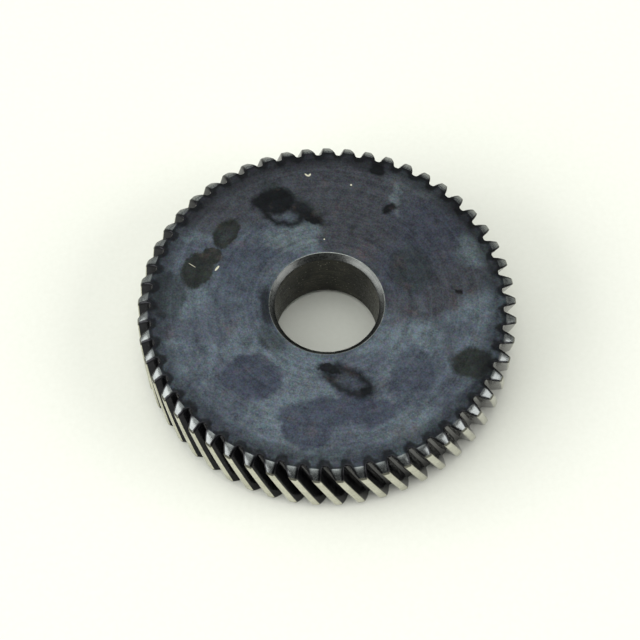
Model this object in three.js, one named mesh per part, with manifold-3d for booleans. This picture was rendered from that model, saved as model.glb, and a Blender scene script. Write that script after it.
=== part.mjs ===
// Left-hand helical gear: one piece of steel, a turned blank with hobbed teeth.
// Millimetres, +Z up. The origin is on the bore's axis, in the plane of the lower face.
import * as THREE from 'three';
import { mergeVertices } from 'three/addons/utils/BufferGeometryUtils.js';
import Module from 'manifold-3d';

// Tooth system
const TEETH = 53;
const NORMAL_MODULE = 0.75;
const NORMAL_PRESSURE_ANGLE = THREE.MathUtils.degToRad(20);
const HELIX_ANGLE = THREE.MathUtils.degToRad(20);
const ADDENDUM = 0.8 * NORMAL_MODULE;
const DEDENDUM = 1.25 * NORMAL_MODULE;
const ROOT_FILLET = 0.3 * NORMAL_MODULE;

// Turned blank
const FACE_WIDTH = 8.5;
const BORE_DIAMETER = 12;
const BORE_CHAMFER = 0.6;
const TOOTH_BEVEL_DEPTH = 1.2; // radial, measured in from the tips
const TOOTH_BEVEL_HEIGHT = 0.85; // axial, measured in from each face

// Facets
const FLANK_STEPS = 2;
const FILLET_STEPS = 2;
const HELIX_STEPS = 4;
const BLANK_SEGMENTS = TEETH;
const CUT_MARGIN = 0.5; // how far each cutting solid runs past the finished surface

// Sizes that follow from the tooth system
const PITCH_RADIUS = (NORMAL_MODULE * TEETH) / Math.cos(HELIX_ANGLE) / 2;
const TIP_RADIUS = PITCH_RADIUS + ADDENDUM;
const ROOT_RADIUS = PITCH_RADIUS - DEDENDUM;
const PRESSURE_ANGLE = Math.atan(Math.tan(NORMAL_PRESSURE_ANGLE) / Math.cos(HELIX_ANGLE));
const BASE_RADIUS = PITCH_RADIUS * Math.cos(PRESSURE_ANGLE);
const TWIST_PER_MM = -Math.tan(HELIX_ANGLE) / PITCH_RADIUS; // negative is left hand

const wasm = await Module();
wasm.setup();

const involute = (angle) => Math.tan(angle) - angle;

const polar = (radius, angle) => new THREE.Vector2(radius * Math.cos(angle), radius * Math.sin(angle));

// Half of the angle that a tooth's thickness spans, at a radius, in the plane across the axis.
function halfToothAngle(radius) {
  const angle = Math.acos(BASE_RADIUS / radius);
  return Math.PI / (2 * TEETH) + involute(PRESSURE_ANGLE) - involute(angle);
}

// The flank on one side of a tooth at angle 0, from the middle of the root space up to the tip.
function flankPoints() {
  const corner = polar(ROOT_RADIUS, halfToothAngle(ROOT_RADIUS));
  const filletTop = ROOT_RADIUS + ROOT_FILLET;
  const filletEnd = polar(ROOT_RADIUS, halfToothAngle(ROOT_RADIUS) + ROOT_FILLET / ROOT_RADIUS);
  const filletStart = polar(filletTop, halfToothAngle(filletTop));
  const fillet = new THREE.QuadraticBezierCurve(filletEnd, corner, filletStart);
  const points = fillet.getPoints(FILLET_STEPS);
  for (let step = 1; step <= FLANK_STEPS; step += 1) {
    const radius = THREE.MathUtils.lerp(filletTop, TIP_RADIUS, step / FLANK_STEPS);
    points.push(polar(radius, halfToothAngle(radius)));
  }
  return points;
}

// The toothed section across the axis, with a tooth centred on +X.
function toothSection() {
  const leading = flankPoints();
  const trailing = leading.map((point) => new THREE.Vector2(point.x, -point.y));
  const tooth = [...trailing, ...leading.reverse()];
  const outline = [];
  for (let index = 0; index < TEETH; index += 1) {
    const turn = (2 * Math.PI * index) / TEETH;
    outline.push(...tooth.map((point) => point.clone().rotateAround(new THREE.Vector2(), turn)));
  }
  return new THREE.Shape(outline);
}

// The section swept along the helix, running past both faces of the gear.
function helicalTeeth() {
  const depth = FACE_WIDTH + 2 * CUT_MARGIN;
  const geometry = new THREE.ExtrudeGeometry(toothSection(), {
    depth,
    steps: HELIX_STEPS,
    bevelEnabled: false,
  });
  geometry.translate(0, 0, -CUT_MARGIN);
  const position = geometry.getAttribute('position');
  const axis = new THREE.Vector3(0, 0, 1);
  const vertex = new THREE.Vector3();
  for (let index = 0; index < position.count; index += 1) {
    vertex.fromBufferAttribute(position, index);
    vertex.applyAxisAngle(axis, vertex.z * TWIST_PER_MM);
    position.setXYZ(index, vertex.x, vertex.y, vertex.z);
  }
  return geometry;
}

// The blank: a ring with flat faces, a chamfered bore and a bevel where the tooth ends will be.
function turnedBlank() {
  const boreRadius = BORE_DIAMETER / 2;
  const bevelRadius = TIP_RADIUS - TOOTH_BEVEL_DEPTH;
  const rimRadius = TIP_RADIUS + CUT_MARGIN;
  const bevelSlope = TOOTH_BEVEL_HEIGHT / TOOTH_BEVEL_DEPTH;
  const rimDrop = (rimRadius - bevelRadius) * bevelSlope;
  const profile = [
    new THREE.Vector2(boreRadius, BORE_CHAMFER),
    new THREE.Vector2(boreRadius + BORE_CHAMFER, 0),
    new THREE.Vector2(bevelRadius, 0),
    new THREE.Vector2(rimRadius, rimDrop),
    new THREE.Vector2(rimRadius, FACE_WIDTH - rimDrop),
    new THREE.Vector2(bevelRadius, FACE_WIDTH),
    new THREE.Vector2(boreRadius + BORE_CHAMFER, FACE_WIDTH),
    new THREE.Vector2(boreRadius, FACE_WIDTH - BORE_CHAMFER),
    new THREE.Vector2(boreRadius, BORE_CHAMFER),
  ];
  const geometry = new THREE.LatheGeometry(profile, BLANK_SEGMENTS);
  geometry.rotateX(Math.PI / 2);
  return geometry;
}

// A closed geometry as a solid that can be cut and joined.
function solidFrom(geometry) {
  geometry.deleteAttribute('normal');
  geometry.deleteAttribute('uv');
  const merged = mergeVertices(geometry);
  return new wasm.Manifold(
    new wasm.Mesh({
      numProp: 3,
      vertProperties: Float32Array.from(merged.getAttribute('position').array),
      triVerts: Uint32Array.from(merged.index.array),
    }),
  );
}

function geometryFrom(solid) {
  const mesh = solid.getMesh();
  const geometry = new THREE.BufferGeometry();
  geometry.setAttribute('position', new THREE.BufferAttribute(mesh.vertProperties, 3));
  geometry.setIndex(new THREE.BufferAttribute(mesh.triVerts, 1));
  geometry.computeVertexNormals();
  return geometry;
}

// Blackened, heat-treated steel with a thin film of oil.
const blackenedSteel = new THREE.MeshStandardMaterial({
  color: '#4b4f58',
  roughness: 0.42,
  metalness: 0.9,
});

function helicalGear() {
  const teeth = solidFrom(helicalTeeth());
  const blank = solidFrom(turnedBlank());
  const gear = new THREE.Mesh(geometryFrom(blank.intersect(teeth)), blackenedSteel);
  gear.name = 'helical_gear';
  return gear;
}

const part = new THREE.Group();
part.add(helicalGear());

export default part;
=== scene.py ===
"""The looks of the helical gear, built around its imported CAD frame.

Metres, +Z up, in the CAD's frame: Z is the bore's axis and the lower face lies in z = 0.
"""
import math

import bpy
import numpy as np
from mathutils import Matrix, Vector


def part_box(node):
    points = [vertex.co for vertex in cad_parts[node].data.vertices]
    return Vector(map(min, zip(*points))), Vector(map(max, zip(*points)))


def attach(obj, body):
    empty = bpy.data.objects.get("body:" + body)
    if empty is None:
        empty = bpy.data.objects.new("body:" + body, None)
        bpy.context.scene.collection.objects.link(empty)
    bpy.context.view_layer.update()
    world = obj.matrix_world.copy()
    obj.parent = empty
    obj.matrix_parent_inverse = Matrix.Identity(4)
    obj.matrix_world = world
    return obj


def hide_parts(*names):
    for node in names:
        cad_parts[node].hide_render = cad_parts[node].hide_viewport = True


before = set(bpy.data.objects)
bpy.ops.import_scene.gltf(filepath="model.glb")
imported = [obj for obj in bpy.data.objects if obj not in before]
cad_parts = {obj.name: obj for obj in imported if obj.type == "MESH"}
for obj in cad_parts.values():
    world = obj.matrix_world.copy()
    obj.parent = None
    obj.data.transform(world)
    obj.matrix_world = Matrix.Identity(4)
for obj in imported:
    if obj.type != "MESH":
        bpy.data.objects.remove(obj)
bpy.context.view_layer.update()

GEAR_LOW, GEAR_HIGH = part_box("helical_gear")
MM = 0.001

# Tooth system, as in the CAD part
TEETH = 53
NORMAL_MODULE = 0.75 * MM
NORMAL_PRESSURE_ANGLE = math.radians(20)
HELIX_ANGLE = math.radians(20)
DEDENDUM = 1.25 * NORMAL_MODULE
ROOT_FILLET = 0.3 * NORMAL_MODULE

# Turned blank
FACE_WIDTH = GEAR_HIGH[2] - GEAR_LOW[2]
TIP_RADIUS = (GEAR_HIGH[0] - GEAR_LOW[0]) / 2
BORE_RADIUS = 6 * MM
BORE_CHAMFER = 0.6 * MM
TOOTH_BEVEL_DEPTH = 1.2 * MM
TOOTH_BEVEL_HEIGHT = 0.85 * MM

# Broken edges
TIP_ROUNDING = 0.14 * MM
TOOTH_END_ROUNDING = 0.15 * MM
TOOTH_END_CROWN = 0.045 * MM
EDGE_FALLOFF = 3  # how tightly the soot and painted shade keep to the sides of a tooth end
BORE_EDGE_ROUNDING = 0.06 * MM
BEVEL_START_SOOT_AND_SHADE = 0.6  # how much of the edges' soot and painted shade lies where the tooth-end bevel starts
BEVEL_SOOT_AND_SHADE_FADE = 2.5  # how fast that soot and painted shade thin out towards the tip
SHARP_ANGLE = math.radians(30)  # edges that turn more than this are shaded as creases

# Mesh density
ROOT_STEPS = 2
FILLET_STEPS = 4
FLANK_STEPS = 7
CORNER_STEPS = 3
LAND_STEPS = 3
HELIX_ROWS = 14
HELIX_ROW_MARGIN = 0.02  # from the tooth-end edges to the outermost rows, as a share of the height
EDGE_STEPS = 3

PITCH_RADIUS = NORMAL_MODULE * TEETH / math.cos(HELIX_ANGLE) / 2
ROOT_RADIUS = PITCH_RADIUS - DEDENDUM
PRESSURE_ANGLE = math.atan(math.tan(NORMAL_PRESSURE_ANGLE) / math.cos(HELIX_ANGLE))
BASE_RADIUS = PITCH_RADIUS * math.cos(PRESSURE_ANGLE)
TWIST = -math.tan(HELIX_ANGLE) / PITCH_RADIUS  # radians per metre of height; negative is left hand
BEVEL_RADIUS = TIP_RADIUS - TOOTH_BEVEL_DEPTH
BEVEL_CURVE = 1.4  # 1 would be a straight bevel
BEVEL_RUNOUT = 0.15 * MM  # how far the curve reaches in beyond the straight bevel

# Radii of the rings that the flat faces are built from, in millimetres
FACE_RINGS = (18.8, 16.5, 13.5, 10.5, 8.2, 7.2)
# Heights of the rings in the lower half of the bore's wall, as shares of the face width
BORE_RINGS = (0.12, 0.31)

# Where each surface lies on the texture: a square map, MAP_WIDTH millimetres of tooth side wide.
# The two faces are discs, and the tooth sides and the bore are unrolled into strips.
MAP_WIDTH = 90.0
UPPER_DISC = (29.5, 60.5, 1.33)  # middle x, middle y, scale
LOWER_DISC = (74.5, 74.0, 0.68)
TEETH_PER_STRIP = 18
STRIP_HEIGHT = 9.4
STRIP_MARGIN = 0.4
BORE_STRIP = (59.5, 46.0, 0.78)  # left, bottom, scale

# The kinds of surface, each with its own material
FACE, FLANK, LAND, TOOTH_END, CHAMFER, BORE = range(6)


# ---------------------------------------------------------------- geometry

def involute(angle):
    return math.tan(angle) - angle


def half_tooth_angle(radius):
    """Half of the angle that a tooth's thickness spans at a radius, in a plane across the axis."""
    angle = math.acos(BASE_RADIUS / radius)
    return math.pi / (2 * TEETH) + involute(PRESSURE_ANGLE) - involute(angle)


def polar(radius, angle):
    return np.array((radius * math.cos(angle), radius * math.sin(angle)))


def bezier(start, corner, end, steps):
    """Points that round a corner, from start to end."""
    t = np.linspace(0, 1, steps + 1)[:, None]
    return (1 - t) ** 2 * start + 2 * t * (1 - t) * corner + t ** 2 * end


def half_outline():
    """Half a tooth across the axis, from the middle of the space at angle -pi/TEETH to the tooth's
    middle at angle 0. Returns the points, the first flank index, the first land index and the
    material of the side that starts at each point."""
    fillet_top = ROOT_RADIUS + ROOT_FILLET
    land_angle = half_tooth_angle(TIP_RADIUS)
    root_end = half_tooth_angle(ROOT_RADIUS) + ROOT_FILLET / ROOT_RADIUS
    points, sides = [], []

    for angle in np.linspace(-math.pi / TEETH, -root_end, ROOT_STEPS + 1)[:-1]:
        points.append(polar(ROOT_RADIUS, angle))
        sides.append(FLANK)
    fillet = bezier(polar(ROOT_RADIUS, -root_end),
                    polar(ROOT_RADIUS, -half_tooth_angle(ROOT_RADIUS)),
                    polar(fillet_top, -half_tooth_angle(fillet_top)), FILLET_STEPS)
    points.extend(fillet[:-1])
    sides.extend([FLANK] * FILLET_STEPS)

    first_flank = len(points)
    corner_low = TIP_RADIUS - TIP_ROUNDING
    flank_radii = [fillet_top, *np.linspace(BEVEL_RADIUS, corner_low, FLANK_STEPS)]
    for radius in flank_radii[:-1]:
        points.append(polar(radius, -half_tooth_angle(radius)))
        sides.append(FLANK)
    land_start = land_angle - TIP_ROUNDING / TIP_RADIUS
    corner = bezier(polar(corner_low, -half_tooth_angle(corner_low)),
                    polar(TIP_RADIUS, -land_angle),
                    polar(TIP_RADIUS, -land_start), CORNER_STEPS)
    points.extend(corner[:-1])
    sides.extend([LAND] * CORNER_STEPS)

    first_land = len(points)
    for angle in np.linspace(-land_start, 0, LAND_STEPS + 1):
        points.append(polar(TIP_RADIUS, angle))
        sides.append(LAND)
    return np.array(points), first_flank, first_land, sides[:-1]


def whole_outline(half):
    """The closed outline of all the teeth, as radius and angle from tooth 0's middle."""
    mirrored = half[-2:0:-1] * (1, -1)
    tooth = np.concatenate((half, mirrored))
    turned = []
    for index in range(TEETH):
        angle = 2 * math.pi * index / TEETH
        turn = np.array(((math.cos(angle), math.sin(angle)), (-math.sin(angle), math.cos(angle))))
        turned.append(tooth @ turn)
    return np.concatenate(turned)


def inset(outline, distance):
    """The outline moved into the metal by a distance."""
    along = np.roll(outline, -1, axis=0) - np.roll(outline, 1, axis=0)
    along /= np.linalg.norm(along, axis=1)[:, None]
    inward = np.stack((-along[:, 1], along[:, 0]), axis=1)
    return outline + inward * distance


def bevel_share(radius):
    """0 where the tooth-end bevel starts and 1 at the tip."""
    start = BEVEL_RADIUS - BEVEL_RUNOUT
    return np.maximum(0, radius - start) / (TIP_RADIUS - start)


def end_drop(radius):
    """How far the curved tooth-end bevel lies below the flat face at a radius."""
    return TOOTH_BEVEL_HEIGHT * bevel_share(radius) ** BEVEL_CURVE


def swept(flat, height):
    """Points of a section at their own heights, turned along the helix."""
    radius = np.hypot(flat[:, 0], flat[:, 1])
    angle = np.arctan2(flat[:, 1], flat[:, 0]) + TWIST * height
    return np.stack((radius * np.cos(angle), radius * np.sin(angle), height), axis=1)


def side_rows(outline):
    """Rows of points from the lower to the upper tooth end, with both end edges broken.
    Each row comes with how close to an edge it is, 0 to 1."""
    def end_row(step, upper):
        angle = math.pi / 2 * step / EDGE_STEPS
        flat = inset(outline, TOOTH_END_ROUNDING * (1 - math.cos(angle)))
        drop = end_drop(np.hypot(flat[:, 0], flat[:, 1]))
        drop = drop + TOOTH_END_ROUNDING * (1 - math.sin(angle))
        return swept(flat, FACE_WIDTH - drop if upper else drop)

    rows = [(end_row(step, False), 1.0) for step in range(EDGE_STEPS, -1, -1)]
    edge = end_drop(np.hypot(outline[:, 0], outline[:, 1])) + TOOTH_END_ROUNDING
    for share in np.linspace(HELIX_ROW_MARGIN, 1 - HELIX_ROW_MARGIN, HELIX_ROWS):
        rows.append((swept(outline, edge + (FACE_WIDTH - 2 * edge) * share), 0.0))
    rows.extend((end_row(step, True), 1.0) for step in range(EDGE_STEPS + 1))
    return rows


def bore_profile():
    """Radius, height, material and closeness to an edge of each ring, from the lower face through
    the bore to the upper face. The material is that of the band which starts at the ring."""
    def rounded(before, corner, after):
        before, corner, after = (np.array(point) for point in (before, corner, after))
        start = corner + (before - corner) / np.linalg.norm(before - corner) * BORE_EDGE_ROUNDING
        end = corner + (after - corner) / np.linalg.norm(after - corner) * BORE_EDGE_ROUNDING
        return bezier(start, corner, end, EDGE_STEPS)

    on_face = (FACE_RINGS[-1] * MM, 0)
    outer = (BORE_RADIUS + BORE_CHAMFER, 0)
    inner = (BORE_RADIUS, BORE_CHAMFER)
    middle = (BORE_RADIUS, FACE_WIDTH / 2)
    rings = [(radius * MM, 0, 0.0) for radius in FACE_RINGS]
    rings += [(radius, height, step / EDGE_STEPS)
              for step, (radius, height) in enumerate(rounded(on_face, outer, inner))]
    last_face = len(FACE_RINGS)
    rings += [(radius, height, 1.0) for radius, height in rounded(outer, inner, middle)]
    first_bore = len(rings) - 1
    rings += [(BORE_RADIUS, share * FACE_WIDTH, 0.0) for share in BORE_RINGS]
    rings += [(radius, FACE_WIDTH - height, edge) for radius, height, edge in reversed(rings)]

    profile = []
    for index, (radius, height, edge) in enumerate(rings):
        depth = min(index, len(rings) - 2 - index)
        kind = FACE if depth < last_face else CHAMFER if depth < first_bore else BORE
        profile.append((radius, height, kind, edge))
    return profile


class GearMesh:
    """Collects the gear's points and quads, then makes the object."""

    def __init__(self):
        self.points = np.empty((0, 3))
        self.edges = np.empty(0)
        self.quads, self.kinds, self.places = [], [], []

    def add(self, points, edge):
        """Adds points that are this close to an edge, and returns their indices."""
        first = len(self.points)
        self.points = np.concatenate((self.points, points))
        self.edges = np.concatenate((self.edges, np.broadcast_to(edge, len(points))))
        return np.arange(first, len(self.points))

    def quad(self, corners, kind, places):
        """Adds a quad of one material, with the texture place of each corner."""
        self.quads.append(tuple(int(corner) for corner in corners))
        self.kinds.append(kind)
        self.places.append([(x / MAP_WIDTH, y / MAP_WIDTH) for x, y in places])

    def disc_quad(self, corners, kind, upper):
        """Adds a quad of a face or tooth end, seen from outside."""
        middle_x, middle_y, scale = UPPER_DISC if upper else LOWER_DISC
        side = 1 if upper else -1
        places = [(middle_x + x / MM * scale * side, middle_y + y / MM * scale)
                  for x, y, _ in self.points[list(corners)]]
        self.quad(corners, kind, places)

    def make(self, name, materials):
        data = bpy.data.meshes.new(name)
        data.from_pydata(self.points.tolist(), [], self.quads)
        for material in materials:
            data.materials.append(material)
        data.polygons.foreach_set("material_index", self.kinds)
        edge = data.attributes.new("near_edge", "FLOAT", "POINT")
        edge.data.foreach_set("value", self.edges)
        layer = data.uv_layers.new(name="OFBake")
        layer.data.foreach_set("uv", np.array(self.places, dtype=np.float32).ravel())
        data.shade_smooth()
        data.set_sharp_from_angle(angle=SHARP_ANGLE)
        data.validate()
        item = bpy.data.objects.new(name, data)
        bpy.context.collection.objects.link(item)
        return item


def add_sides(mesh, outline, half_kinds):
    """Root, flanks and land of every tooth. Returns the rims of the lower and upper tooth ends."""
    total = len(outline)
    kinds = half_kinds + half_kinds[::-1]
    per_tooth = len(kinds)
    rows = [mesh.add(points, edge) for points, edge in side_rows(outline)]
    steps = np.linalg.norm(np.roll(outline, -1, axis=0) - outline, axis=1)
    run = np.concatenate(((0,), np.cumsum(steps[:per_tooth]))) / MM
    for low, high in zip(rows, rows[1:]):
        for index in range(total):
            after = (index + 1) % total
            tooth, local = divmod(index, per_tooth)
            strip, column = divmod(tooth, TEETH_PER_STRIP)
            corners = (low[index], low[after], high[after], high[index])
            left = STRIP_MARGIN + run[-1] * column
            bottom = STRIP_MARGIN + STRIP_HEIGHT * strip
            lengths = (run[local], run[local + 1], run[local + 1], run[local])
            places = [(left + length, bottom + mesh.points[corner][2] / MM)
                      for length, corner in zip(lengths, corners)]
            mesh.quad(corners, kinds[local], places)
    return rows[0], rows[-1]


def add_tooth_ends(mesh, rim, per_tooth, first_flank, first_land, upper):
    """The slightly crowned end of every tooth. Returns the loop that bounds the face."""
    columns = per_tooth - 2 * first_land
    across = np.linspace(-1, 1, columns + 1)[1:-1, None]
    loop = []
    for base in range(0, len(rim), per_tooth):
        rungs = []
        for step in range(first_flank, first_land):
            left = rim[base + step]
            right = rim[(base + per_tooth - step) % len(rim)]
            start, end = mesh.points[left], mesh.points[right]
            between = start + (end - start) * (across + 1) / 2
            radius = np.hypot(*start[:2])
            between[:, :2] *= radius / np.linalg.norm(between[:, :2], axis=1)[:, None]
            share = bevel_share(radius)
            crown = TOOTH_END_CROWN * 4 * share * (1 - share) * (1 - across ** 2)
            between[:, 2:] += crown if upper else -crown
            # closeness to the sides and the start of the bevel, which get soot and painted shade
            edge = np.abs(across[:, 0]) ** EDGE_FALLOFF
            soot_and_shade = BEVEL_START_SOOT_AND_SHADE * max(0, 1 - BEVEL_SOOT_AND_SHADE_FADE * share)
            edge = edge + (1 - edge) * soot_and_shade
            rungs.append([left, *mesh.add(between, edge), right])
        rungs.append([rim[base + first_land + column] for column in range(columns + 1)])
        for step, (near, far) in enumerate(zip(rungs, rungs[1:])):
            for column in range(columns):
                corners = (near[column], far[column], far[column + 1], near[column + 1])
                corners = corners if upper else corners[::-1]
                mesh.disc_quad(corners, FACE if step == 0 else TOOTH_END, upper)
        loop += [rim[base + step] for step in range(first_flank)] + rungs[0]
        loop += [rim[base + per_tooth - step] for step in range(first_flank - 1, 0, -1)]
    return loop


def add_faces_and_bore(mesh, lower_loop, upper_loop):
    """Rings of quads from the lower tooth roots through the bore to the upper tooth roots."""
    around = np.arctan2(mesh.points[lower_loop, 1], mesh.points[lower_loop, 0])
    bands = [(lower_loop, FACE)]
    for radius, height, kind, edge in bore_profile():
        angle = around + TWIST * height
        ring = (radius * np.cos(angle), radius * np.sin(angle), np.full(len(angle), height))
        bands.append((mesh.add(np.stack(ring, axis=1), edge), kind))
    bands.append((upper_loop, FACE))
    count = len(lower_loop)
    left, bottom, scale = BORE_STRIP
    step = 2 * math.pi * BORE_RADIUS / MM * scale / count
    for (near, kind), (far, _) in zip(bands, bands[1:]):
        for index in range(count):
            after = (index + 1) % count
            corners = (near[index], far[index], far[after], near[after])
            heights = mesh.points[list(corners), 2]
            if kind == BORE:
                columns = (index, index, index + 1, index + 1)
                places = [(left + step * column, bottom + height / MM * scale)
                          for column, height in zip(columns, heights)]
                mesh.quad(corners, kind, places)
            else:
                mesh.disc_quad(corners, kind, heights.mean() > FACE_WIDTH / 2)


def gear_object(materials):
    mesh = GearMesh()
    half, first_flank, first_land, half_kinds = half_outline()
    rims = add_sides(mesh, whole_outline(half), half_kinds)
    loops = [add_tooth_ends(mesh, rim, 2 * len(half_kinds), first_flank, first_land, upper)
             for rim, upper in zip(rims, (False, True))]
    add_faces_and_bore(mesh, *loops)
    return mesh.make("helical_gear_surface", materials)


# ---------------------------------------------------------------- materials

def linear(red, green, blue):
    """A colour given as 0 to 255 display values, as the shader needs it."""
    def one(value):
        value /= 255
        return value / 12.92 if value <= 0.04045 else ((value + 0.055) / 1.055) ** 2.4
    return (one(red), one(green), one(blue), 1.0)


GREY = (0.5, 0.5, 0.5)  # the middle value of a coloured noise
ASKEW_AXIS = (0.5, 0.7, 0.5)
ASKEW_ANGLE = math.radians(38)


class Graph:
    """A short way to write a node tree: the methods add nodes and return the last one's output."""

    def __init__(self, tree, space="Object"):
        self.tree = tree
        self.place = tree.nodes.new("ShaderNodeTexCoord").outputs[space]

    def put(self, socket, value):
        if isinstance(value, bpy.types.NodeSocket):
            self.tree.links.new(value, socket)
        else:
            socket.default_value = value

    def math(self, operation, first, second=0.0):
        node = self.tree.nodes.new("ShaderNodeMath")
        node.operation = operation
        self.put(node.inputs[0], first)
        self.put(node.inputs[1], second)
        return node.outputs[0]

    def vector(self, operation, first, second=None, scale=None):
        node = self.tree.nodes.new("ShaderNodeVectorMath")
        node.operation = operation
        self.put(node.inputs[0], first)
        if second is not None:
            self.put(node.inputs[1], second)
        if scale is not None:
            self.put(node.inputs["Scale"], scale)
        return node.outputs["Value" if operation in ("LENGTH", "DOT_PRODUCT") else "Vector"]

    def split(self, vector):
        node = self.tree.nodes.new("ShaderNodeSeparateXYZ")
        self.put(node.inputs[0], vector)
        return node.outputs[0], node.outputs[1], node.outputs[2]

    def join(self, x, y, z):
        node = self.tree.nodes.new("ShaderNodeCombineXYZ")
        for socket, value in zip(node.inputs, (x, y, z)):
            self.put(socket, value)
        return node.outputs[0]

    def turned(self, x, y, angle):
        """The flat place seen in axes that are turned by an angle."""
        flat = self.join(x, y, 0.0)
        across = (math.cos(angle), -math.sin(angle), 0)
        along = (math.sin(angle), math.cos(angle), 0)
        return self.join(self.vector("DOT_PRODUCT", flat, across),
                         self.vector("DOT_PRODUCT", flat, along), 0.0)

    def tilted(self, place):
        """The place in axes that lie askew, so that no pattern lines up with the gear's own axes."""
        node = self.tree.nodes.new("ShaderNodeVectorRotate")
        node.rotation_type = "AXIS_ANGLE"
        node.inputs["Axis"].default_value = ASKEW_AXIS
        node.inputs["Angle"].default_value = ASKEW_ANGLE
        self.put(node.inputs["Vector"], place)
        return node.outputs[0]

    def noise(self, place, scale, detail=3.0, roughness=0.5, distortion=0.0, colour=False):
        """Soft random pattern around 0.5; scale is in features per unit of place."""
        node = self.tree.nodes.new("ShaderNodeTexNoise")
        self.put(node.inputs["Vector"], place)
        node.inputs["Scale"].default_value = scale
        node.inputs["Detail"].default_value = detail
        node.inputs["Roughness"].default_value = roughness
        node.inputs["Distortion"].default_value = distortion
        return node.outputs["Color" if colour else "Fac"]

    def step(self, value, low, high, start=0.0, end=1.0):
        """Goes smoothly from start to end while value goes from low to high."""
        node = self.tree.nodes.new("ShaderNodeMapRange")
        node.interpolation_type = "SMOOTHSTEP"
        for socket, number in zip(node.inputs[:5], (value, low, high, start, end)):
            self.put(socket, number)
        return node.outputs[0]

    def mix(self, share, first, second):
        node = self.tree.nodes.new("ShaderNodeMix")
        node.data_type = "RGBA"
        self.put(node.inputs[0], share)
        self.put(node.inputs[6], first)
        self.put(node.inputs[7], second)
        return node.outputs[2]

    def bump(self, height, distance, strength):
        node = self.tree.nodes.new("ShaderNodeBump")
        node.inputs["Strength"].default_value = strength
        node.inputs["Distance"].default_value = distance
        self.put(node.inputs["Height"], height)
        return node.outputs[0]

    def near_edge(self):
        """How close to an edge of the metal a place is, 0 to 1."""
        node = self.tree.nodes.new("ShaderNodeAttribute")
        node.attribute_name = "near_edge"
        return node.outputs["Fac"]

    def chain(self, operation, values):
        total = values[0]
        for value in values[1:]:
            total = self.math(operation, total, value)
        return total

    def largest(self, *values):
        return self.chain("MAXIMUM", values)

    def times(self, *values):
        return self.chain("MULTIPLY", values)

    def plus(self, *values):
        return self.chain("ADD", values)

    def minus(self, first, second):
        return self.math("SUBTRACT", first, second)

    def warped(self, place, scale, reach):
        """The place shifted at random, by up to about half the reach."""
        shift = self.vector("SUBTRACT", self.noise(place, scale, 4, 0.6, colour=True), GREY)
        return self.vector("ADD", place, self.vector("SCALE", shift, scale=reach))

    def tone_around_one(self, tint, strength):
        """A random colour turned into a factor around 1, to multiply another colour by."""
        away = self.vector("SCALE", self.vector("SUBTRACT", tint, GREY), scale=strength)
        return self.vector("ADD", away, (1.0, 1.0, 1.0))

    def blot(self, place, x, y, length, width, turn=0, blur=0.3, hollow=0.0):
        """An ellipse with half axes length and width, turned by degrees. 1 inside, 0 outside.
        With hollow above 0 the inside fades, which leaves a ring."""
        angle = math.radians(turn)
        along = (math.cos(angle) / length, math.sin(angle) / length, 0)
        across = (-math.sin(angle) / width, math.cos(angle) / width, 0)
        away = self.vector("SUBTRACT", place, (x, y, 0))
        reach = self.join(self.vector("DOT_PRODUCT", away, along),
                          self.vector("DOT_PRODUCT", away, across), 0.0)
        reach = self.vector("LENGTH", reach)
        inside = self.step(reach, 1 + blur / 2, 1 - blur / 2)
        if hollow:
            inside = self.times(inside, self.step(reach, 0.2, 0.85, 1 - hollow, 1.0))
        return inside


def material_graph(name):
    """A new material's graph, in millimetres, and its shader."""
    material = bpy.data.materials.new(name)
    material.use_nodes = True
    graph = Graph(material.node_tree)
    graph.place = graph.vector("SCALE", graph.place, scale=1 / MM)
    return material, graph, material.node_tree.nodes["Principled BSDF"]


def wire(graph, shader, colour, roughness, metallic, normal):
    graph.put(shader.inputs["Base Color"], colour)
    graph.put(shader.inputs["Roughness"], roughness)
    graph.put(shader.inputs["Normal"], normal)
    shader.inputs["Metallic"].default_value = metallic


# The face's colours: tones, stains, rust, dust, and soot that also serves as painted shade
SLATE = linear(84, 93, 100)
PALE_SLATE = linear(87, 96, 100)
GREY_VIOLET = linear(66, 71, 80)
VIOLET = linear(51, 55, 66)
DUSK = linear(58, 60, 65)
TEAL = linear(40, 45, 46)
OLIVE_BLACK = linear(34, 37, 34)
OIL_BLACK = linear(16, 18, 20)
# soot, which also stands for painted shade around the tooth roots and along the tooth ends' sides
SOOT_AND_SHADE = linear(18, 19, 21)
RUST = linear(84, 72, 69)
DUST = linear(195, 192, 170)

STAIN_TURN = math.radians(2.6)  # from tooth 0 to the axes that the stains are placed in
UPPER_HALF = (4.0, 4.5)  # heights in millimetres between which the upper face's stains set in


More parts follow.
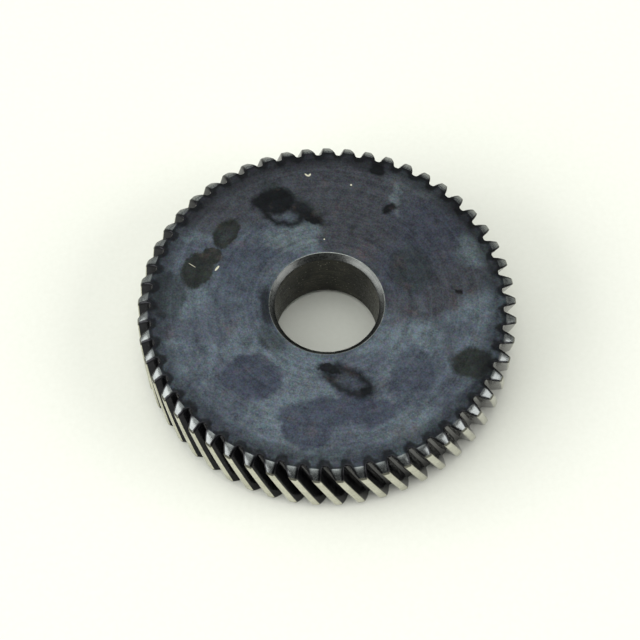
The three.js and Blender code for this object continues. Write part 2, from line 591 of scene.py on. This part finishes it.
def broad_face_tones(graph, flat, upper):
    """The broad tones of the upper face: slate, with violet and dusky areas that have
    wavy edges; the dusky areas make it darker towards +X and +Y."""
    wide = graph.warped(flat, 0.22, 3.2)
    cloud = graph.noise(graph.place, 0.13, 5, 0.6, 0.6)
    colour = graph.mix(graph.step(cloud, 0.42, 0.6, 0.0, 0.85), SLATE, GREY_VIOLET)

    # dusky areas, darker towards +X and +Y
    dusky = graph.largest(
        graph.blot(wide, 9, 11.5, 14, 9.5, -35, 0.25),
        graph.blot(wide, -7.5, 16, 11.5, 5, 25, 0.4),
        graph.blot(wide, 10.5, 2.5, 5, 5, 0, 0.4))
    deep = graph.largest(
        graph.blot(wide, 12.5, 9.0, 5.5, 3.6, -40, 0.8),
        graph.blot(wide, -9.5, 4.2, 5.0, 3.6, 60, 1.0),
        graph.blot(wide, 9.0, 4.4, 3.4, 3.6, 0, 0.8))
    clear = graph.largest(
        graph.blot(wide, -4.2, 8.6, 3.4, 1.9, 10, 0.5),
        graph.blot(wide, 17.2, 6.8, 2.0, 2.2, 0, 0.8),
        graph.times(graph.blot(wide, 10.5, 16, 3.5, 1.2, -30, 0.9), 0.5),
        graph.blot(wide, 8.3, 14.2, 0.4, 2.2, 0, 0.9))
    shade = graph.times(upper, graph.step(cloud, 0.3, 0.5, 0.8, 1.0))
    colour = graph.mix(graph.times(dusky, shade), colour, DUSK)
    colour = graph.mix(graph.times(upper, 0.6, deep), colour, VIOLET)

    violet = graph.largest(
        graph.blot(wide, -8.2, -9.6, 3.4, 2.8, -15, 0.2),
        graph.blot(wide, 1.5, -13.8, 6.8, 2.1, 3, 0.3),
        graph.blot(wide, -2.2, -15.8, 2.7, 2.6, 0, 0.2),
        graph.times(graph.blot(wide, 9.6, -9.4, 2.6, 3.9, -12, 0.2), 0.7))
    lit = graph.blot(wide, 2.7, -16.7, 2.1, 2.0, 0, 0.3)
    unlit = graph.minus(upper, graph.times(lit, 0.8))
    colour = graph.mix(graph.times(violet, unlit, 0.85), colour, VIOLET)
    return graph.mix(graph.times(upper, 0.8, clear), colour, PALE_SLATE)


def oil_stains(graph, flat, upper, colour):
    """Dried oil and quench stains on the upper face, some of them only dark at the rim."""
    near = graph.warped(flat, 0.7, 1.5)
    teal = graph.largest(
        graph.blot(near, -18.1, 0.9, 2.0, 3.1, 0, 0.3),
        graph.blot(near, -6.3, -4.8, 2.0, 1.1, -45, 0.9),
        graph.blot(near, 9.7, 4.4, 2.4, 2.9, 15, 0.5),
        graph.blot(near, -4.0, 13.4, 4.8, 1.2, -35, 0.6))
    olive = graph.largest(
        graph.blot(near, -15.0, 4.3, 1.9, 2.4, -15, 0.3),
        graph.blot(near, -13.3, 6.2, 1.4, 1.2, 0, 0.3),
        graph.blot(near, -11.8, 9.2, 1.4, 2.1, -28, 0.3, 0.2),
        graph.blot(near, 16.4, -7.8, 2.6, 2.0, 0, 0.4))
    black = graph.largest(
        graph.blot(near, -6.2, 13.6, 2.6, 1.8, 5, 0.4),
        graph.blot(near, -5.2, 11.9, 2.9, 1.7, -22, 0.5, 1.0),
        graph.blot(near, -1.9, 11.3, 1.7, 0.6, -28, 0.8),
        graph.times(graph.blot(near, -3.5, 12.8, 2.0, 0.9, -35, 0.8), 0.8),
        graph.blot(near, 2.4, -9.9, 3.2, 1.7, -26, 0.6, 0.6),
        graph.blot(near, 0.4, -8.6, 1.5, 0.7, -20, 0.7),
        graph.blot(near, 4.2, -11.1, 0.9, 0.6, -20, 0.8),
        graph.blot(near, 7.4, 12.5, 1.0, 0.6, 30, 0.8),
        graph.times(graph.blot(near, -6.9, -0.5, 0.9, 2.6, 4, 1.0), 0.85),
        graph.blot(near, 6.1, 18.0, 0.9, 0.8, 0, 0.6),
        graph.blot(near, 15.2, 1.4, 0.35, 0.35, 0, 0.9))
    colour = graph.mix(graph.times(teal, 0.7, upper), colour, TEAL)
    colour = graph.mix(graph.times(olive, 0.95, upper), colour, OLIVE_BLACK)
    colour = graph.mix(graph.times(black, 0.97, upper), colour, OIL_BLACK)
    return colour, graph.times(upper, graph.largest(olive, black))


def dust_flecks(graph, flat, upper):
    """A few pale flecks of lint on the upper face, and sparse specks of dust."""
    specks = graph.step(graph.noise(graph.place, 1.9, 1, 0.5), 0.83, 0.86)
    flecks = graph.largest(
        graph.blot(flat, -2.4, 17.3, 0.3, 0.1, -40),
        graph.blot(flat, -2.05, 17.3, 0.24, 0.12, 55),
        graph.blot(flat, 2.9, 15.9, 0.12, 0.12),
        graph.blot(flat, -0.3, 8.4, 0.09, 0.09),
        graph.blot(flat, -12.7, 4.5, 0.4, 0.12, 55),
        graph.blot(flat, -15.6, 4.9, 0.5, 0.03, -35))
    return graph.times(upper, graph.largest(specks, flecks))


def face_steel():
    material, graph, shader = material_graph("blackened_face")
    x, y, z = graph.split(graph.place)
    flat = graph.turned(x, y, STAIN_TURN)
    radius = graph.vector("LENGTH", flat)
    upper = graph.step(z, *UPPER_HALF)
    colour = broad_face_tones(graph, flat, upper)
    colour, oily = oil_stains(graph, flat, upper, colour)

    # a breath of rust here and there, and darkening near the tooth roots and in a band towards the
    # rim: partly soot, partly painted shade in the corners
    rusty = graph.noise(graph.place, 0.4, 4, 0.6)
    colour = graph.mix(graph.step(rusty, 0.56, 0.75, 0.0, 0.3), colour, RUST)
    blotch = graph.noise(graph.place, 0.55, 4, 0.6)
    root_soot_and_shade = graph.plus(graph.near_edge(), graph.times(blotch, 1.2))
    rim = graph.plus(radius, graph.times(blotch, 2.4))
    # soot and painted shade near the tooth roots, and a darker band towards the rim
    soot_and_shade = graph.largest(
        graph.step(root_soot_and_shade, 0.6, 1.35, 0.0, 0.95),
        graph.step(rim, 18.6, 20.6, 0.0, 0.6))
    colour = graph.mix(soot_and_shade, colour, SOOT_AND_SHADE)

    # turning marks, faint rings of uneven depth, then mottling and grain
    turns = graph.noise(graph.join(radius, graph.times(x, 0.02), z), 1.7, 2.5, 0.7)
    askew = graph.tilted(graph.place)
    mottle = graph.noise(askew, 0.9, 5, 0.65, 0.4)
    grain = graph.noise(askew, 4.5, 3, 0.8)
    tint = graph.noise(askew, 3.2, 3, 0.8, colour=True)
    light = graph.plus(
        graph.step(turns, 0.3, 0.7, 0.15, -0.15),
        graph.step(mottle, 0.3, 0.7, 0.24, -0.24),
        graph.step(grain, 0.25, 0.75, 1.3, 0.7))
    colour = graph.vector("MULTIPLY", colour, graph.tone_around_one(tint, 1.1))
    colour = graph.vector("SCALE", colour, scale=light)
    colour = graph.mix(dust_flecks(graph, flat, upper), colour, DUST)

    dry = graph.step(grain, 0.2, 0.8, 0.38, 0.5)
    roughness = graph.minus(dry, graph.times(oily, 0.06))
    height = graph.plus(grain, graph.times(turns, 0.8))
    wire(graph, shader, colour, roughness, 0.9, graph.bump(height, 0.008 * MM, 0.5))
    return material


def plain_steel(name, dark, light, roughness, metallic, edge, edge_share, relief=0.006):
    """Steel with an uneven tone, faint machining rings and fine grain, and another colour along
    its broken edges, partly dirt and partly painted shade. The relief is the grain's depth in
    millimetres."""
    material, graph, shader = material_graph(name)
    x, y, z = graph.split(graph.place)
    radius = graph.vector("LENGTH", graph.join(x, y, 0.0))
    tone = graph.noise(graph.place, 0.5, 4, 0.6)
    grain = graph.noise(graph.place, 4.0, 3, 0.75)
    rings = graph.noise(graph.join(radius, graph.times(x, 0.03), z), 4.0, 3, 0.7)
    share = graph.plus(
        graph.step(tone, 0.35, 0.7, 0.0, 0.4),
        graph.step(rings, 0.35, 0.65, 0.0, 0.3),
        graph.step(grain, 0.35, 0.65, 0.0, 0.3))
    colour = graph.mix(share, dark, light)
    blotch = graph.noise(graph.place, 1.4, 3, 0.6)
    # a darker colour along the broken edges: partly dirt, partly painted shade
    edge_dirt_and_shade = graph.plus(graph.near_edge(), graph.times(blotch, 0.8))
    colour = graph.mix(graph.step(edge_dirt_and_shade, 0.7, 1.35, 0.0, edge_share), colour, edge)
    rough = graph.step(grain, 0.25, 0.8, roughness - 0.06, roughness + 0.1)
    height = graph.plus(grain, rings)
    wire(graph, shader, colour, rough, metallic, graph.bump(height, relief * MM, 0.5))
    return material


def bored_steel():
    """The bore's dark wall: fine tool marks around it, a speckled oxide and a few pale specks."""
    material, graph, shader = material_graph("bored_wall")
    x, y, z = graph.split(graph.place)
    tone = graph.noise(graph.place, 0.35, 4, 0.6)
    speckle = graph.noise(graph.place, 3.6, 3, 0.8)
    drawn_out = graph.join(graph.times(x, 0.08), graph.times(y, 0.08), z)
    marks = graph.noise(drawn_out, 3.0, 3, 0.7)
    colour = graph.mix(graph.step(tone, 0.35, 0.7), linear(30, 30, 26), linear(60, 59, 51))
    light = graph.times(
        graph.step(speckle, 0.35, 0.65, 0.25, 1.9),
        graph.step(marks, 0.3, 0.7, 0.7, 1.35))
    colour = graph.vector("SCALE", colour, scale=light)
    specks = graph.step(graph.noise(graph.place, 4.4, 1, 0.5), 0.68, 0.76)
    colour = graph.mix(graph.times(specks, 0.5), colour, DUST)
    rough = graph.step(speckle, 0.35, 0.65, 0.3, 0.6)
    height = graph.plus(speckle, marks)
    wire(graph, shader, colour, rough, 0.7, graph.bump(height, 0.02 * MM, 0.6))
    shader.inputs["Specular IOR Level"].default_value = 0.3
    return material


def gear_materials():
    """One material for each kind of surface, in the order of their numbers."""
    return [
        face_steel(),
        plain_steel(
            "blackened_flank", dark=linear(20, 20, 22), light=linear(42, 42, 47),
            roughness=0.15, metallic=0.85, edge=linear(16, 16, 17), edge_share=0.6),
        plain_steel(
            "bright_land", dark=linear(170, 169, 153), light=linear(214, 213, 197),
            roughness=0.2, metallic=1.0, edge=linear(58, 58, 54), edge_share=0.85),
        # tooth ends, darkened along their sides and where the bevel starts with soot and painted
        # shade
        plain_steel(
            "blackened_tooth_end", dark=linear(96, 99, 99), light=linear(118, 121, 119),
            roughness=0.25, metallic=0.95, edge=SOOT_AND_SHADE, edge_share=0.95, relief=0.003),
        plain_steel(
            "worn_chamfer", dark=linear(84, 87, 85), light=linear(142, 145, 140),
            roughness=0.3, metallic=0.95, edge=linear(50, 50, 50), edge_share=0.7, relief=0.012),
        bored_steel(),
    ]


# ---------------------------------------------------------------- studio

CAMERA_AZIMUTH = math.radians(-2.6)
CAMERA_ELEVATION = math.radians(62.25)
CAMERA_DISTANCE = 189.0 * MM
CAMERA_SIDEWAYS = -0.8 * MM
CAMERA_UPWARD = 1.96 * MM
SENSOR_WIDTH = 36.0
LENS = 89.3

FLOOR_HALF_WIDTH = 2.4
LIGHT_DISTANCE = 2.6
VIEWER_SIDE = (0.2, -0.98, 0.0)  # the level direction in which the sky is dimmed
SKY_COLOUR = (0.97, 1.0, 0.99, 1)


def add_camera():
    level = Vector((-math.sin(CAMERA_AZIMUTH), math.cos(CAMERA_AZIMUTH), 0))
    down = Vector((0, 0, -1))
    ahead = level * math.cos(CAMERA_ELEVATION) + down * math.sin(CAMERA_ELEVATION)
    right = ahead.cross(Vector((0, 0, 1))).normalized()
    upward = right.cross(ahead)
    data = bpy.data.cameras.new("camera")
    data.lens = LENS
    data.sensor_width = SENSOR_WIDTH
    data.clip_start = 0.01
    camera = bpy.data.objects.new("camera", data)
    camera.location = ahead * -CAMERA_DISTANCE + right * CAMERA_SIDEWAYS + upward * CAMERA_UPWARD
    camera.rotation_mode = "QUATERNION"
    camera.rotation_quaternion = ahead.to_track_quat("-Z", "Y")
    bpy.context.collection.objects.link(camera)
    bpy.context.scene.camera = camera


def add_floor():
    """A wide pale sheet of paper, with a fine tooth of its own."""
    half = FLOOR_HALF_WIDTH
    data = bpy.data.meshes.new("floor")
    data.from_pydata([(-half, -half, 0), (half, -half, 0), (half, half, 0), (-half, half, 0)],
                     [], [(0, 1, 2, 3)])
    material, graph, shader = material_graph("paper")
    fibre = graph.noise(graph.place, 1.5, 4, 0.6)
    colour = graph.mix(fibre, linear(214, 214, 204), linear(222, 222, 213))
    wire(graph, shader, colour, 1.0, 0.0, graph.bump(fibre, 0.01 * MM, 0.3))
    shader.inputs["Specular IOR Level"].default_value = 0.0
    data.materials.append(material)
    floor = bpy.data.objects.new("floor", data)
    floor.location.z = GEAR_LOW[2]
    bpy.context.collection.objects.link(floor)


def add_softbox(name, azimuth, elevation, width, height, radiance):
    """A soft light that faces the gear. Azimuth 0 is the -Y side and 90 the +X side."""
    azimuth, elevation = math.radians(azimuth), math.radians(elevation)
    level = Vector((math.sin(azimuth), -math.cos(azimuth), 0))
    away = level * math.cos(elevation) + Vector((0, 0, 1)) * math.sin(elevation)
    data = bpy.data.lights.new(name, "AREA")
    data.shape = "RECTANGLE"
    data.size, data.size_y = width, height
    data.energy = radiance * math.pi * width * height
    light = bpy.data.objects.new(name, data)
    light.location = away * LIGHT_DISTANCE
    light.rotation_euler = away.to_track_quat("Z", "Y").to_euler()
    bpy.context.collection.objects.link(light)


def light_scene():
    """Bright from above and behind and pale at the horizon, dimmer towards the front, with a softbox
    on either side."""
    world = bpy.data.worlds.new("studio")
    bpy.context.scene.world = world
    world.use_nodes = True
    graph = Graph(world.node_tree, "Generated")
    right, _, height = graph.split(graph.place)
    front = graph.vector("DOT_PRODUCT", graph.place, VIEWER_SIDE)
    light = graph.step(height, 0.0, 1.0, 0.32, 1.08)
    light = graph.times(light, graph.step(right, -0.8, 0.8, 1.5, 0.5))
    dim = graph.times(graph.step(front, -0.1, 0.6), graph.step(height, 0.88, 0.68))
    light = graph.times(light, graph.minus(1.0, graph.times(dim, 0.8)))
    overhead = graph.step(height, 0.9, 0.99, 0.0, 2.0)
    horizon = graph.step(height, 0.03, 0.3, 0.85, 0.12)
    light = graph.largest(graph.plus(light, overhead), horizon)
    background = world.node_tree.nodes["Background"]
    background.inputs["Color"].default_value = SKY_COLOUR
    graph.put(background.inputs["Strength"], light)
    add_softbox("left_softbox", azimuth=-74, elevation=25, width=3.4, height=1.4, radiance=4.4)
    add_softbox("right_softbox", azimuth=76, elevation=28, width=2.0, height=1.4, radiance=4.4)
    bpy.context.scene.view_settings.view_transform = "Standard"


def main():
    gear = gear_object(gear_materials())
    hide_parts("helical_gear")
    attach(gear, "root")
    add_floor()
    add_camera()
    light_scene()


main()
